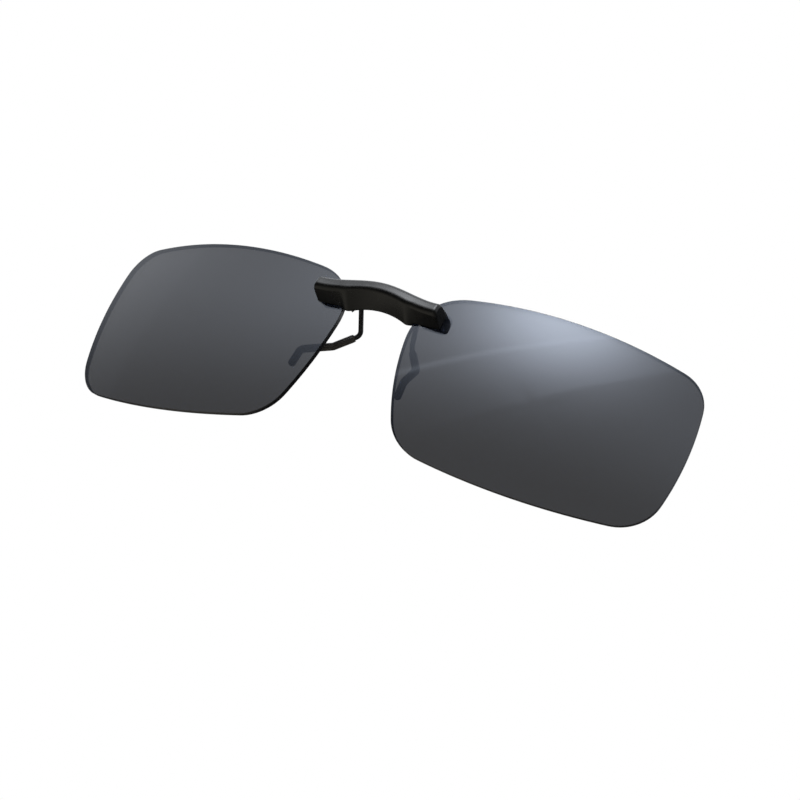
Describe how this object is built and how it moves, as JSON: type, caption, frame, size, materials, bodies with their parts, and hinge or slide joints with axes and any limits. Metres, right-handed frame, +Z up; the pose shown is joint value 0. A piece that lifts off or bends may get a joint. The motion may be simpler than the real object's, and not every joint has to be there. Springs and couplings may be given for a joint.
{
  "type": "clip-on sunglasses",
  "caption": "Rimless clip-on sun lenses on a moulded bridge, with sprung rubber-tipped wire claws that grip the spectacles from behind.",
  "frame": {"origin": "centre of the rear seat, the flat rear face of the bridge that rests against the spectacles", "axes": "as worn: +X across to the lens on the right of a front view, -Y to the front, +Z up"},
  "size_m": [0.1272, 0.0169, 0.0348],
  "materials": {
    "smoke_lens": "dark grey polarised lens, polished",
    "bridge_plastic": "satin black moulding",
    "claw_wire": "black coated spring wire",
    "silicone": "smoky black silicone sleeve",
    "steel": "bright steel",
    "nylon": "natural nylon"
  },
  "bodies": {
    "clip": {"bridge_front_shell": "bridge_plastic", "bridge_rear_cover": "bridge_plastic", "claw_bearing_block": "nylon", "left_lens": "smoke_lens", "right_lens": "smoke_lens", "left_lens_screw": "steel", "right_lens_screw": "steel", "left_lens_bush": "nylon", "right_lens_bush": "nylon", "left_return_spring": "steel", "right_return_spring": "steel", "left_upper_prong": "claw_wire", "right_upper_prong": "claw_wire", "left_upper_sleeve": "silicone", "right_upper_sleeve": "silicone"},
    "left_claw": {"left_claw_wire": "claw_wire", "left_claw_sleeve": "silicone"},
    "right_claw": {"right_claw_wire": "claw_wire", "right_claw_sleeve": "silicone"}
  },
  "joints": [
    {"name": "left_claw_hinge", "type": "hinge", "parent": "clip", "child": "left_claw", "pos_m": [-0.0035, -0.0024, 0], "axis": [1, 0, 0], "range_deg": [0, 20], "stiffness_Nm_per_rad": 0.02, "springref_deg": -5.73},
    {"name": "right_claw_hinge", "type": "hinge", "parent": "clip", "child": "right_claw", "pos_m": [0.0035, -0.0024, 0], "axis": [1, 0, 0], "range_deg": [0, 20], "stiffness_Nm_per_rad": 0.02, "springref_deg": -5.73}
  ]
}
